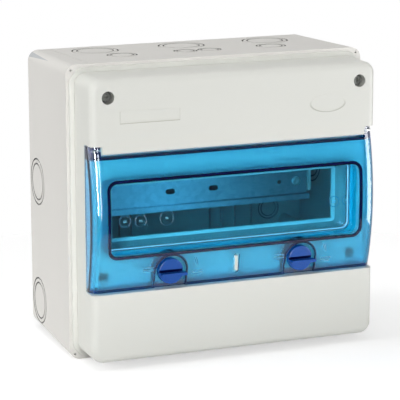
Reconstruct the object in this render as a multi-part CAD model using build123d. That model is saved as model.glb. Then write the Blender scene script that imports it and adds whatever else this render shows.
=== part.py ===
from build123d import *
import math
import os

# A surface-mounted breaker panel box for twelve modules, with a hinged window door.
# Depths are measured backwards from the cover's front face. The wall is at the far end.

# Cover
cover_width = 280.0
cover_height = 261.0
cover_corner = 11.0
cover_edge_round = 6.5
cover_rise = 44.0
cover_wall = 3.0
flange_width = 4.5
flange_thickness = 3.0
flange_round = 1.2
upper_front_height = 68.4
lower_front_height = 64.3
bay_edge_round = 2.0
deck_depth = 18.0

# Base
ledge_width = 2.5
base_depth = 125.0
base_taper = 3.5
base_corner = 10.0
base_wall = 3.0
base_back_round = 2.0
base_rim_width = 11.0
base_rim_depth = 8.0
fit_gap = 0.2

# Module aperture and the funnel in front of it
module_count = 12
module_width = 18.0
module_face_height = 46.0
aperture_gap = 2.4
aperture_depth = 31.0
aperture_corner = 1.0
funnel_depth = 24.0
funnel_ledge = 3.0
funnel_wall = 2.5
aperture_rim = 2.8
module_z = 139.8

# Door
door_bulge = 5.5
door_top_depth = 2.5
door_bottom_depth = 4.0
door_wall = 2.8
door_gap = 1.2
door_side_round = 9.5
door_nose_round = 2.4
skirt_depth = 17.0
window_width = 246.8
window_height = 67.5
window_corner = 7.0
well_taper = 1.5
pane_depth = 18.0
pane_thickness = 2.5
well_wall = 2.0
well_gap = 0.9
hinge_depth = 5.5
hinge_rise = 3.4
swing_gap = 0.35
ear_width = 10.4
ear_rise = 3.5
ear_gap = 0.4
notch_top_gap = 1.0
hinge_pin_radius = 1.25
hinge_running_gap = 0.05
hinge_pin_length = 17.0
hinge_pin_in_ear = 8.0
hinge_boss_size = 8.0
door_top_gap = 2.4

# Knobs and latches
knob_spacing = 129.0
knob_z = 87.8
knob_radius = 11.8
knob_front = -0.8
knob_floor_gap = 0.5
pocket_radius = 15.0
pocket_depth = 6.0
pocket_wall = 2.2
pocket_floor = 2.4
shaft_radius = 4.0
shaft_running_gap = 0.05
slot_width = 3.0
slot_depth = 1.8
slot_offset = 0.3
fin_height = 2.8
fin_rise = 4.0
fin_foot = 2.2
fin_tip_round = 1.3
fin_reach = 14.4
fin_reach_back = 10.5
knob_edge_round = 0.8
cam_gap = 1.4
cam_thickness = 2.6
cam_reach = 10.5
cam_hub_radius = 5.5
cam_tip_radius = 2.6
cam_stub_radius = 2.4
cam_screw_head_radius = 3.2
cam_screw_head = 1.8
cam_screw_radius = 1.2
cam_screw_length = 8.0
seal_ring_width = 1.6
seal_ring_height = 0.9
catch_height = 1.6

# Sealing tab in the middle of the door's lower band
tab_width = 3.0
tab_height = 14.0
tab_front = 0.4
tab_slot_width = 5.4
tab_slot_height = 19.0
tab_z = 89.4

# Cover screws
screw_spread = 246.6
upper_screw_drop = 16.9
lower_screw_rise = 76.8
upper_well_radius = 5.9
lower_well_radius = 5.2
upper_well_depth = 10.0
lower_well_depth = 10.0
screw_well_wall = 2.0
cover_screw_radius = 2.0
cover_screw_clearance = 0.4
cover_screw_head_radius = 4.0
cover_screw_head = 3.2
cover_screw_bite = 14.0
pilot_spare = 2.0
same_place = 0.01
cross_reach = 5.0
cross_width = 1.1
cross_depth = 1.8
small_cross_width = 0.9
screw_seal_thickness = 1.2
boss_radius = 6.0

# Gaskets
gasket_groove_width = 3.2
gasket_groove_depth = 2.0
gasket_inset = 6.3
door_gasket_width = 3.0
door_gasket_height = 1.4

# Rail and its supports
rail_end_gap = 26.0
rail_height = 35.0
rail_channel = 27.0
rail_rise = 7.5
rail_sheet = 1.0
rail_web_depth = 95.0
rail_slot_length = 9.6
rail_slot_height = 5.0
rail_slot_pitch = 44.2
rail_slot_first = -28.6
rail_slot_count = 2
rail_hole_radius = 2.0
rail_hole_inset = 29.4
rail_screw_inset = 11.5
rail_screw_radius = 2.0
rail_screw_head_radius = 4.4
rail_screw_head = 2.4
rail_screw_length = 12.0
support_width = 18.0
support_height = 30.0
support_wall = 2.4
support_front_wall = 14.0
stop_gap = 0.4
stop_thickness = 3.2
stop_height = 20.0
stop_rise = 2.5
stop_foot = 4.0

# Terminals
terminal_z = 44.0
terminal_depth = 108.0
holder_length = 150.0
holder_height = 30.0
holder_thickness = 4.0
holder_leg_width = 8.0
bar_length = 118.0
bar_size = 7.0
bar_spacing = 14.0
terminal_count = 12
terminal_pitch = 9.0
terminal_screw_radius = 1.9
terminal_screw_head_radius = 2.6
terminal_screw_head = 2.2
wire_hole_radius = 2.2
terminal_slot = 0.8
terminal_screw_bite = 1.4

# Wall fixings
wall_hole_spread_x = 222.0
wall_hole_spread_z = 205.0
wall_hole_radius = 2.75
cap_radius = 7.0
cap_height = 5.0
cap_wall = 1.6

# Knockouts: groove width and depth, ring radii, places
groove_width = 1.5
groove_depth = 1.4
large_ring_radii = (22.6, 18.0)
medium_ring_radii = (14.5, 11.4)
small_ring_radii = (11.5, 8.8)
large_ring_pitch = 87.5
large_ring_depth = 137.0
small_ring_depth = 95.0
medium_ring_x = 75.5
small_ring_x = 12.2
side_ring_depth = 145.0
side_ring_upper_z = 149.0
side_ring_lower_z = 32.0
back_ring_x = 106.0
back_ring_z = 96.7

# Ribs and marks
rib_places = (42.0, 54.0, 69.0, 87.0)
rib_thickness = 1.8
rib_height = 5.0
rib_reach_up = 34.0
rib_reach_down = 66.0
boss_web_thickness = 2.0
ledge_hole_radius = 1.0
ledge_hole_inset = 5.0
ledge_hole_depth = 4.0
moulding_line_inset = 24.0
moulding_line_width = 0.7
moulding_line_depth = 0.35
plate_width = 57.2
plate_height = 10.8
plate_x = -83.7
plate_z = 232.7
oval_width = 35.4
oval_height = 16.5
oval_x = 91.2
oval_z = 232.6
emboss_depth = 0.5
emboss_line = 1.0

# Derived sizes
base_width = cover_width + 2 * (flange_width + ledge_width)
base_height = cover_height + 2 * (flange_width + ledge_width)
seat_depth = cover_rise + flange_thickness
back_depth = seat_depth + base_depth
overall_depth = door_bulge + back_depth
rail_length = cover_width - 2 * rail_end_gap
rail_hole_x = rail_length / 2 - rail_hole_inset
rail_screw_x = rail_length / 2 - rail_screw_inset
face_y = door_bulge - overall_depth / 2
mid_z = base_height / 2
cover_top = mid_z + cover_height / 2
cover_bottom = mid_z - cover_height / 2
bay_top = cover_top - upper_front_height
bay_bottom = cover_bottom + lower_front_height
hinge_z = bay_top + hinge_rise
ear_top = hinge_z + ear_rise
door_bottom = bay_bottom + door_gap
notch_x = cover_width / 2 - ear_width - ear_gap
notch_top = ear_top + notch_top_gap
aperture_width = module_count * module_width + 2 * aperture_gap
aperture_height = module_face_height + aperture_gap
well_growth = well_wall + well_gap - well_taper
opening_width = window_width + 2 * well_growth
opening_height = window_height + 2 * well_growth
back_wall_depth = back_depth - base_wall
upper_screw_z = cover_top - upper_screw_drop
lower_screw_z = cover_bottom + lower_screw_rise
knob_x = knob_spacing / 2
cam_depth = pocket_depth + pocket_floor + cam_gap
taper_angle = math.degrees(math.atan2(base_taper, base_depth))
nose_top = bay_top - door_top_gap
crest_share = 1 / (1 + math.sqrt((door_bulge + door_top_depth) / (door_bulge + door_bottom_depth)))
crest_z = door_bottom + crest_share * (bay_top - door_bottom)
bulge_rise = door_bulge + door_bottom_depth
bulge_radius = ((crest_z - door_bottom) ** 2 + bulge_rise**2) / (2 * bulge_rise)
swing_radius = swing_gap + bay_edge_round + math.hypot(
    hinge_depth - bay_edge_round, hinge_rise - bay_edge_round
)


def front_plane(depth, x=0.0, z=0.0):
    """A plane facing the front, with its local Y upwards."""
    return Plane(origin=(x, face_y + depth, z), x_dir=(1, 0, 0), z_dir=(0, -1, 0))


def slab(shape, start, end, x=0.0, z=0.0):
    """A flat shape carried backwards from one depth to another."""
    return extrude(front_plane(start, x, z) * shape, amount=start - end)


def block(x_from, x_to, start, end, z_from, z_to):
    """A plain block between two x, two depths and two heights."""
    shape = Rectangle(x_to - x_from, z_to - z_from)
    return slab(shape, start, end, (x_from + x_to) / 2, (z_from + z_to) / 2)


def rod(x, z, radius, start, end):
    """A round rod that runs from front to back."""
    return slab(Circle(radius), start, end, x, z)


def pipe(x, z, outer, inner, start, end):
    """A tube that runs from front to back."""
    return slab(Circle(outer) - Circle(inner), start, end, x, z)


def rounded(width, height, radius):
    return RectangleRounded(width, height, radius)


def drafted(front_size, back_size, start, end, z):
    """A rounded box whose outline changes from front to back: sizes are width, height, radius."""
    front = front_plane(start, 0, z) * rounded(*front_size)
    back = front_plane(end, 0, z) * rounded(*back_size)
    return loft([front, back])


def crosswise(x_from, x_to, outline):
    """An outline in depth and height carried across from one x to another."""
    side = Plane(origin=(x_from, face_y, 0), x_dir=(0, 1, 0), z_dir=(1, 0, 0))
    return extrude(side * outline, amount=x_to - x_from)


def cross_rod(x_from, x_to, depth, z, radius):
    """A round rod that runs from left to right."""
    return crosswise(x_from, x_to, Pos(depth, z) * Circle(radius))


def screw_places():
    """The four cover screws: x, z, depth of the face they sink into, well depth and radius."""
    places = []
    for side in (-1, 1):
        x = side * screw_spread / 2
        places.append((x, upper_screw_z, 0.0, upper_well_depth, upper_well_radius))
        places.append((x, lower_screw_z, deck_depth, lower_well_depth, lower_well_radius))
    return places


def wall_places():
    """The four wall fixings, about the middle of the back."""
    return [
        (i * wall_hole_spread_x / 2, mid_z + j * wall_hole_spread_z / 2)
        for i in (-1, 1)
        for j in (-1, 1)
    ]


# Base


def base_taper_at(depth):
    """How far the base's walls have come in at a depth."""
    return base_taper * (depth - seat_depth) / base_depth


def ring_grooves(plane, radii):
    """The thinned rings of one knockout, cut into a wall."""
    cuts = None
    for radius in radii:
        ring = Circle(radius) - Circle(radius - groove_width)
        cut = extrude(plane * ring, amount=-groove_depth)
        cuts = cut if cuts is None else cuts + cut
    return cuts


def shelf_plane(side, x, depth):
    """A plane on the base's top wall, side 1, or bottom wall, side -1."""
    lean = math.radians(taper_angle)
    z = mid_z + side * (base_height / 2 - base_taper_at(depth))
    return Plane(
        origin=(x, face_y + depth, z),
        x_dir=(1, 0, 0),
        z_dir=(0, math.sin(lean), side * math.cos(lean)),
    )


def cheek_plane(side, z, depth):
    """A plane on the base's right wall, side 1, or left wall, side -1."""
    lean = math.radians(taper_angle)
    x = side * (base_width / 2 - base_taper_at(depth))
    return Plane(
        origin=(x, face_y + depth, z),
        x_dir=(0, 0, 1),
        z_dir=(side * math.cos(lean), math.sin(lean), 0),
    )


def knockouts():
    """Every knockout's grooves: three large and four small above and below, two at each side."""
    cuts = []
    for side in (-1, 1):
        for step in (-1, 0, 1):
            plane = shelf_plane(side, step * large_ring_pitch, large_ring_depth)
            cuts.append(ring_grooves(plane, large_ring_radii))
        for mirror in (-1, 1):
            plane = shelf_plane(side, mirror * medium_ring_x, small_ring_depth)
            cuts.append(ring_grooves(plane, medium_ring_radii))
            plane = shelf_plane(side, mirror * small_ring_x, small_ring_depth)
            cuts.append(ring_grooves(plane, small_ring_radii))
        for z in (side_ring_upper_z, side_ring_lower_z):
            cuts.append(ring_grooves(cheek_plane(side, z, side_ring_depth), large_ring_radii))
        back_ring = front_plane(back_wall_depth, side * back_ring_x, back_ring_z)
        cuts.append(ring_grooves(back_ring, small_ring_radii))
    return cuts


def moulding_line():
    """A thin groove that runs from front to back on the top wall, near its left end."""
    middle = (seat_depth + back_depth) / 2
    plane = shelf_plane(1, moulding_line_inset - base_width / 2, middle)
    line = Rectangle(moulding_line_width, base_depth + 2 * base_taper)
    return extrude(plane * line, amount=-moulding_line_depth)


def base_box():
    outer = drafted(
        (base_width, base_height, base_corner),
        (base_width - 2 * base_taper, base_height - 2 * base_taper, base_corner),
        seat_depth,
        back_depth,
        mid_z,
    )
    back_edges = outer.faces().sort_by(Axis.Y)[-1].edges()
    outer = fillet(back_edges, base_back_round)
    rim_back = seat_depth + base_rim_depth
    rim_inner = (
        base_width - 2 * base_rim_width,
        base_height - 2 * base_rim_width,
        cover_corner,
    )
    inner_front = 2 * (base_wall + base_taper_at(rim_back))
    inner_back = 2 * (base_wall + base_taper)
    cavity = drafted(
        (base_width - inner_front, base_height - inner_front, base_corner - base_wall),
        (base_width - inner_back, base_height - inner_back, base_corner - base_wall),
        rim_back,
        back_wall_depth,
        mid_z,
    )
    mouth = slab(rounded(*rim_inner), seat_depth, rim_back, 0, mid_z)
    body = outer - cavity - mouth
    for x, z, face, well, radius in screw_places():
        body += rod(x, z, boss_radius, seat_depth, back_wall_depth)
        wall_x = math.copysign(base_width / 2 - base_wall - base_taper, x)
        x_from, x_to = sorted((x, wall_x))
        half_web = boss_web_thickness / 2
        body += block(x_from, x_to, seat_depth, back_wall_depth, z - half_web, z + half_web)
        body -= rod(x, z, cover_screw_radius, seat_depth, seat_depth + cover_screw_bite + pilot_spare)
    for x in [side * place for side in (-1, 1) for place in rib_places]:
        body += block(
            x - rib_thickness / 2,
            x + rib_thickness / 2,
            back_wall_depth - rib_height,
            back_wall_depth,
            module_z - rib_reach_down,
            module_z + rib_reach_up,
        )
    for x, z in wall_places():
        body -= rod(x, z, wall_hole_radius, back_wall_depth - 1, back_depth + 1)
    groove = gasket_ring(gasket_groove_width, seat_depth, seat_depth + gasket_groove_depth)
    body -= groove
    corner_x = base_width / 2 - ledge_hole_inset
    corner_z = base_height / 2 - ledge_hole_inset
    for i in (-1, 1):
        for j in (-1, 1):
            body -= rod(
                i * corner_x,
                mid_z + j * corner_z,
                ledge_hole_radius,
                seat_depth,
                seat_depth + ledge_hole_depth,
            )
    for cut in knockouts():
        body -= cut
    return body - moulding_line()


def gasket_ring(width, start, end):
    """A frame-shaped ring that runs round the middle of the base's rim."""
    middle_width = base_width - 2 * gasket_inset
    middle_height = base_height - 2 * gasket_inset
    outer = rounded(middle_width + width, middle_height + width, cover_corner)
    inner = rounded(middle_width - width, middle_height - width, cover_corner - width)
    return slab(outer - inner, start, end, 0, mid_z)


def cover_gasket():
    return gasket_ring(gasket_groove_width - 2 * fit_gap, seat_depth, seat_depth + gasket_groove_depth)


# Cover


def cover_body():
    """The raised front with its flange, still solid."""
    body = slab(rounded(cover_width, cover_height, cover_corner), 0, seat_depth, 0, mid_z)
    front_edges = body.faces().sort_by(Axis.Y)[0].edges()
    body = fillet(front_edges, cover_edge_round)
    flange_outline = rounded(
        cover_width + 2 * flange_width,
        cover_height + 2 * flange_width,
        cover_corner + flange_width,
    )
    flange = slab(flange_outline, cover_rise, seat_depth, 0, mid_z)
    flange_edges = flange.faces().sort_by(Axis.Y)[0].edges()
    return body + fillet(flange_edges, flange_round)


def cover_hollow():
    """The space inside the cover: deep behind the two fronts, shallow behind the deck."""
    outline = rounded(
        cover_width - 2 * cover_wall, cover_height - 2 * cover_wall, cover_corner - cover_wall
    )
    inside = slab(outline, cover_wall, seat_depth, 0, mid_z)
    front_edges = inside.faces().sort_by(Axis.Y)[0].edges()
    inside = fillet(front_edges, cover_edge_round - cover_wall)
    half = cover_width / 2
    deck_back = deck_depth + cover_wall
    return inside - block(-half, half, 0, deck_back, bay_bottom - cover_wall, bay_top + cover_wall)


def door_bay():
    """The room for the door, with a notch for each ear and the rounded edge above it."""
    far = cover_width
    bay = block(-far, far, -far, deck_depth, bay_bottom, bay_top)
    edge = block(
        -notch_x, notch_x, -bay_edge_round, bay_edge_round, bay_top, bay_top + bay_edge_round
    )
    edge -= cross_rod(-notch_x, notch_x, bay_edge_round, bay_top + bay_edge_round, bay_edge_round)
    return bay + edge


def ear_notch(side):
    x_from, x_to = sorted((side * notch_x, side * cover_width))
    return block(x_from, x_to, -cover_width, deck_depth, bay_top - 1, notch_top)


def notch_walls(side):
    """The walls behind, above and beside one ear notch, with the boss that holds its pin."""
    inside = cover_width / 2 - cover_wall
    x_from, x_to = sorted((side * (notch_x - cover_wall), side * inside))
    walls = block(
        x_from, x_to, cover_wall, deck_depth + cover_wall, bay_top, notch_top + cover_wall
    )
    x_from, x_to = sorted((side * (notch_x - hinge_boss_size), side * notch_x))
    boss_top = hinge_z + hinge_boss_size / 2
    return walls + block(x_from, x_to, cover_wall, hinge_depth + hinge_boss_size / 2, bay_top, boss_top)


def collar():
    """The frame behind the deck: a ledge, then a funnel down to the module aperture."""
    mouth_width = opening_width - 2 * funnel_ledge
    mouth_height = opening_height - 2 * funnel_ledge
    outside = 2 * funnel_wall
    corner = window_corner + well_gap
    frame = slab(
        rounded(opening_width + outside, opening_height + outside, corner + funnel_wall),
        deck_depth,
        funnel_depth + funnel_wall,
        0,
        module_z,
    )
    throat_width = aperture_width + 2 * aperture_rim
    throat_height = aperture_height + 2 * aperture_rim
    frame += drafted(
        (mouth_width + outside, mouth_height + outside, corner),
        (throat_width + outside, throat_height + outside, funnel_wall + aperture_corner),
        funnel_depth,
        aperture_depth + funnel_wall,
        module_z,
    )
    return frame


def collar_opening():
    """The way through the deck, the funnel and the aperture."""
    corner = window_corner + well_gap
    opening = slab(
        rounded(opening_width, opening_height, corner), deck_depth - 1, funnel_depth, 0, module_z
    )
    opening += drafted(
        (opening_width - 2 * funnel_ledge, opening_height - 2 * funnel_ledge, corner),
        (
            aperture_width + 2 * aperture_rim,
            aperture_height + 2 * aperture_rim,
            aperture_rim + aperture_corner,
        ),
        funnel_depth,
        aperture_depth,
        module_z,
    )
    return opening + slab(
        rounded(aperture_width, aperture_height, aperture_corner),
        aperture_depth,
        aperture_depth + 2 * funnel_wall,
        0,
        module_z,
    )


def label_frames():
    """The raised outlines of the two blank label fields on the upper front."""
    plate = Rectangle(plate_width, plate_height)
    plate -= Rectangle(plate_width - 2 * emboss_line, plate_height - 2 * emboss_line)
    oval = Ellipse(oval_width / 2, oval_height / 2)
    oval -= Ellipse(oval_width / 2 - emboss_line, oval_height / 2 - emboss_line)
    return slab(plate, -emboss_depth, 0, plate_x, plate_z) + slab(
        oval, -emboss_depth, 0, oval_x, oval_z
    )


def front_cover():
    cover = cover_body() - cover_hollow() - door_bay()
    for side in (-1, 1):
        cover += notch_walls(side)
        cover -= ear_notch(side)
    cover += collar()
    cover -= collar_opening()
    for x, z, face, well, radius in screw_places():
        cover += rod(x, z, radius + screw_well_wall, face + cover_wall / 2, face + well + screw_well_wall)
        cover += rod(x, z, boss_radius, face + well, seat_depth)
        cover -= rod(x, z, radius, face - 1, face + well)
        cover -= rod(x, z, cover_screw_radius + cover_screw_clearance, face, seat_depth)
    tab_half = tab_width / 2
    cover += block(
        -tab_half, tab_half, tab_front, deck_depth + 1, tab_z - tab_height / 2, tab_z + tab_height / 2
    )
    for side in (-1, 1):
        x = side * knob_x
        cover += block(
            x - cam_reach,
            x + cam_reach,
            deck_depth - catch_height,
            deck_depth + 1,
            knob_z - cam_reach,
            knob_z - cam_hub_radius,
        )
        pin_end = notch_x - (hinge_pin_length - hinge_pin_in_ear)
        x_from, x_to = sorted((side * pin_end, side * notch_x))
        cover -= cross_rod(x_from, x_to, hinge_depth, hinge_z, hinge_pin_radius)
    groove = door_gasket_frame(deck_depth)
    return cover - groove + label_frames()


def door_gasket_frame(start):
    """The frame-shaped seal round the deck's opening, set into the deck."""
    inner_gap = door_gasket_width
    outer = rounded(
        opening_width + 2 * (inner_gap + door_gasket_width),
        opening_height + 2 * (inner_gap + door_gasket_width),
        window_corner + inner_gap + door_gasket_width,
    )
    inner = rounded(
        opening_width + 2 * inner_gap, opening_height + 2 * inner_gap, window_corner + inner_gap
    )
    return slab(outer - inner, start, deck_depth + door_gasket_height, 0, module_z)


def door_gasket():
    return door_gasket_frame(deck_depth - door_gasket_height)


def cover_screws():
    screws = []
    for x, z, face, well, radius in screw_places():
        seat = face + well - screw_seal_thickness
        head = rod(x, z, cover_screw_head_radius, seat - cover_screw_head, seat)
        shank = rod(x, z, cover_screw_radius, seat, seat_depth + cover_screw_bite)
        cross = Rectangle(cross_reach, cross_width) + Rectangle(cross_width, cross_reach)
        recess = slab(cross, seat - cover_screw_head, seat - cover_screw_head + cross_depth, x, z)
        screws.append(head + shank - recess)
    return screws


def cover_screw_seals():
    seals = []
    for x, z, face, well, radius in screw_places():
        start = face + well - screw_seal_thickness
        seals.append(pipe(x, z, radius - fit_gap, cover_screw_radius, start, face + well))
    return seals


# Door


def door_section(top, inset=0.0, back=skirt_depth):
    """The door's section in depth and height: a bulged front between a bottom and a top."""
    disc = Pos(bulge_radius - door_bulge, crest_z) * Circle(bulge_radius - inset)
    low = door_bottom + inset
    band = Rectangle(back + cover_width, top - low)
    return disc & Pos((back - cover_width) / 2, (low + top) / 2) * band


def side_rims(solid, half):
    """The long edges where the bulged front meets the two sides."""
    return solid.edges().filter_by(
        lambda edge: math.isclose(abs(edge.center().X), half, abs_tol=same_place)
        and edge.center().Y < face_y + door_bottom_depth
        and edge.length > half / 2
    )


def door_solid():
    """The door's outside, filled: the wide body with its rounded nose, and the two ears."""
    section = door_section(nose_top)
    nose = section.vertices().group_by(Axis.Y)[-1].sort_by(Axis.X)[0]
    section = fillet(nose, door_nose_round)
    half = cover_width / 2
    solid = crosswise(-half, half, section)
    for side in (-1, 1):
        x_from, x_to = sorted((side * (half - ear_width), side * half))
        solid += crosswise(x_from, x_to, door_section(ear_top))
    solid = fillet(side_rims(solid, half), door_side_round)
    swing = cross_rod(-notch_x - ear_gap, notch_x + ear_gap, hinge_depth, hinge_z, swing_radius)
    return solid - swing


def arch(radius):
    """The outline of a knob pocket: round at its top and open downwards."""
    drop = knob_z - door_bottom + door_wall
    return Circle(radius) + Pos(0, -drop / 2) * Rectangle(2 * radius, drop)


def well(extra, depth):
    """The window well, wider by extra all round, from before the front to a depth."""
    front = (
        window_width + 2 * extra,
        window_height + 2 * extra,
        window_corner + extra,
    )
    back = (front[0] - 2 * well_taper, front[1] - 2 * well_taper, window_corner + extra)
    return drafted(front, back, -door_bulge - 1, depth, module_z)


def door():
    outside = door_solid()
    half = cover_width / 2 - door_wall
    hollow = crosswise(-half, half, door_section(nose_top - door_wall, door_wall, back_depth))
    shell = outside - fillet(side_rims(hollow, half), door_side_round - door_wall)
    walls = well(well_wall, pane_depth + pane_thickness)
    floor = pocket_depth + pocket_floor
    for side in (-1, 1):
        walls += slab(arch(pocket_radius + pocket_wall), -door_bulge, floor, side * knob_x, knob_z)
    bulk = crosswise(-half, half, door_section(nose_top - door_wall, 0, pane_depth + pane_thickness))
    shell += walls & bulk
    shell -= well(0, pane_depth)
    ear_inside = cover_width / 2 - ear_width
    for side in (-1, 1):
        x = side * knob_x
        shell -= slab(arch(pocket_radius), -door_bulge - 1, pocket_depth, x, knob_z)
        shell -= rod(x, knob_z, shaft_radius + shaft_running_gap, pocket_depth - 1, floor + 1)
        bore_end = ear_inside + hinge_pin_in_ear + fit_gap
        x_from, x_to = sorted((side * (ear_inside - 1), side * bore_end))
        bore_radius = hinge_pin_radius + hinge_running_gap
        shell -= cross_rod(x_from, x_to, hinge_depth, hinge_z, bore_radius)
    slot = SlotOverall(tab_slot_height, tab_slot_width, 90)
    return shell - slab(slot, -door_bulge - 1, pocket_depth, 0, tab_z)


def hinge_pin(side):
    outer_end = cover_width / 2 - ear_width + hinge_pin_in_ear
    x_from, x_to = sorted((side * (outer_end - hinge_pin_length), side * outer_end))
    return cross_rod(x_from, x_to, hinge_depth, hinge_z, hinge_pin_radius)


# Knobs and latches


def knob(side):
    """A slotted disc with a grip fin that points to its setting, on a stepped shaft."""
    x = side * knob_x
    disc_back = pocket_depth - knob_floor_gap
    body = rod(x, knob_z, knob_radius, knob_front, disc_back)
    rim = body.faces().sort_by(Axis.Y)[0].edges()
    body = fillet(rim, knob_edge_round)
    slot_top = knob_z + slot_offset + slot_width / 2
    fin_top = slot_top - slot_width
    body -= block(
        x - knob_radius, x + knob_radius, knob_front - 1, knob_front + slot_depth, fin_top, slot_top
    )
    fin = block(
        x - fin_reach_back,
        x + fin_reach,
        knob_front - fin_rise,
        knob_front + fin_foot,
        fin_top - fin_height,
        fin_top,
    )
    body += fillet(fin.edges().filter_by(Axis.Y), fin_tip_round)
    body += rod(x, knob_z, shaft_radius, disc_back, cam_depth)
    body += rod(x, knob_z, cam_stub_radius, cam_depth, cam_depth + cam_thickness)
    screw_end = cam_depth + cam_thickness - cam_screw_length
    return body - rod(x, knob_z, cam_screw_radius, screw_end, back_depth)


def knob_seal(side):
    floor = pocket_depth + pocket_floor
    inner = shaft_radius + shaft_running_gap
    return pipe(side * knob_x, knob_z, inner + seal_ring_width, inner, floor, floor + seal_ring_height)


def latch_cam(side):
    """The arm behind the door that turns with the knob, opposite the fin."""
    x = side * knob_x
    end = cam_depth + cam_thickness
    arm = SlotCenterToCenter(cam_reach - cam_tip_radius, 2 * cam_tip_radius, 90)
    outline = Circle(cam_hub_radius) + Pos(0, -(cam_reach - cam_tip_radius) / 2) * arm
    return slab(outline - Circle(cam_stub_radius), cam_depth, end, x, knob_z)


def cam_screw(side):
    x = side * knob_x
    seat = cam_depth + cam_thickness
    head = rod(x, knob_z, cam_screw_head_radius, seat, seat + cam_screw_head)
    recess = Rectangle(cam_screw_head_radius, small_cross_width)
    recess += Rectangle(small_cross_width, cam_screw_head_radius)
    head -= slab(recess, seat + cam_screw_head / 2, seat + cam_screw_head + 1, x, knob_z)
    return head + rod(x, knob_z, cam_screw_radius, seat - cam_screw_length, seat)


# Rail and supports


def din_rail():
    """A top-hat rail: a web with slots, two side walls and two lips that face outwards."""
    back = rail_web_depth + rail_sheet
    lip_front = back - rail_rise
    half = rail_height / 2
    inner = rail_channel / 2
    section = Pos(back - rail_sheet / 2, 0) * Rectangle(rail_sheet, rail_channel)
    for side in (-1, 1):
        wall_z = side * (inner - rail_sheet / 2)
        section += Pos((lip_front + back) / 2, wall_z) * Rectangle(rail_rise, rail_sheet)
        lip_z = side * (half + inner - rail_sheet) / 2
        lip_height = half - inner + rail_sheet
        section += Pos(lip_front + rail_sheet / 2, lip_z) * Rectangle(rail_sheet, lip_height)
    rail = crosswise(-rail_length / 2, rail_length / 2, Pos(0, module_z) * section)
    for index in range(rail_slot_count):
        x = rail_slot_first + index * rail_slot_pitch
        slot = SlotOverall(rail_slot_length, rail_slot_height)
        rail -= slab(slot, rail_web_depth - 1, back + 1, x, module_z)
    rail -= rod(rail_hole_x, module_z, rail_hole_radius, rail_web_depth - 1, back + 1)
    for side in (-1, 1):
        rail -= rod(side * rail_screw_x, module_z, rail_screw_radius, rail_web_depth - 1, back + 1)
    return rail


def rail_support(side):
    """A hollow post from the back wall to the rail, with a stop that shows past the rail's end."""
    x = side * rail_screw_x
    half = support_width / 2
    front = rail_web_depth + rail_sheet
    post = block(
        x - half, x + half, front, back_wall_depth,
        module_z - support_height / 2, module_z + support_height / 2,
    )
    post -= block(
        x - half + support_wall,
        x + half - support_wall,
        front + support_front_wall,
        back_wall_depth - support_wall,
        module_z - support_height,
        module_z + support_height,
    )
    stop_inner = rail_length / 2 + stop_gap
    stop_outer = stop_inner + stop_thickness
    stop_low = module_z - stop_height / 2
    stop_high = module_z + stop_height / 2
    x_from, x_to = sorted((side * stop_inner, side * stop_outer))
    post += block(x_from, x_to, front - stop_rise, front + stop_foot, stop_low, stop_high)
    x_from, x_to = sorted((side * (rail_screw_x + half - 1), side * stop_outer))
    post += block(x_from, x_to, front, front + stop_foot, stop_low, stop_high)
    return post - rod(x, module_z, rail_screw_radius, front - 1, front + rail_screw_length)


def rail_screws():
    screws = []
    for side in (-1, 1):
        x = side * rail_screw_x
        head = rod(x, module_z, rail_screw_head_radius, rail_web_depth - rail_screw_head, rail_web_depth)
        rim = head.faces().sort_by(Axis.Y)[0].edges()
        head = fillet(rim, rail_screw_head / 2)
        shank_end = rail_web_depth + rail_sheet + rail_screw_length
        shank = rod(x, module_z, rail_screw_radius, rail_web_depth, shank_end)
        recess = Rectangle(rail_screw_head_radius, small_cross_width)
        recess += Rectangle(small_cross_width, rail_screw_head_radius)
        front = rail_web_depth - rail_screw_head
        screws.append(head + shank - slab(recess, front - 1, front + rail_screw_head / 2, x, module_z))
    return screws


# Terminals


def terminal_holder():
    """A cross plate on two legs that stand on the back wall."""
    half = holder_length / 2
    low = terminal_z - holder_height / 2
    high = terminal_z + holder_height / 2
    plate_back = terminal_depth + holder_thickness
    holder = block(-half, half, terminal_depth, plate_back, low, high)
    for side in (-1, 1):
        x_from, x_to = sorted((side * half, side * (half - holder_leg_width)))
        holder += block(x_from, x_to, plate_back, back_wall_depth, low, high)
    return holder


def terminal_x(index):
    return (index - (terminal_count - 1) / 2) * terminal_pitch


def terminal_bar(side):
    """A brass bar with a wire hole and a clamp screw hole at each terminal."""
    z = terminal_z + side * bar_spacing / 2
    half = bar_length / 2
    front = terminal_depth - bar_size
    bar = block(-half, half, front, terminal_depth, z - bar_size / 2, z + bar_size / 2)
    for index in range(terminal_count):
        x = terminal_x(index)
        hole_plane = Plane(
            origin=(x, face_y + terminal_depth - bar_size / 2, z - bar_size),
            x_dir=(1, 0, 0),
            z_dir=(0, 0, 1),
        )
        bar -= extrude(hole_plane * Circle(wire_hole_radius), amount=2 * bar_size)
        bar -= rod(x, z, terminal_screw_radius, front - 1, front + bar_size / 2)
    return bar


def terminal_screws(side):
    z = terminal_z + side * bar_spacing / 2
    front = terminal_depth - bar_size
    screws = []
    for index in range(terminal_count):
        x = terminal_x(index)
        head = rod(x, z, terminal_screw_head_radius, front - terminal_screw_head, front)
        head -= block(
            x - bar_size, x + bar_size,
            front - 2 * terminal_screw_head, front - terminal_screw_head / 2,
            z - terminal_slot / 2, z + terminal_slot / 2,
        )
        shank = rod(x, z, terminal_screw_radius, front, front + terminal_screw_bite)
        screws.append(head + shank)
    return screws


# Wall fixings


def wall_screw_caps():
    """Hollow caps that insulate the heads of the four wall screws."""
    caps = []
    for x, z in wall_places():
        front = back_wall_depth - cap_height
        cap = rod(x, z, cap_radius, front, back_wall_depth)
        rim = cap.faces().sort_by(Axis.Y)[0].edges()
        cap = fillet(rim, cap_wall / 2)
        caps.append(cap - rod(x, z, cap_radius - cap_wall, front + cap_wall, back_depth))
    return caps


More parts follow.
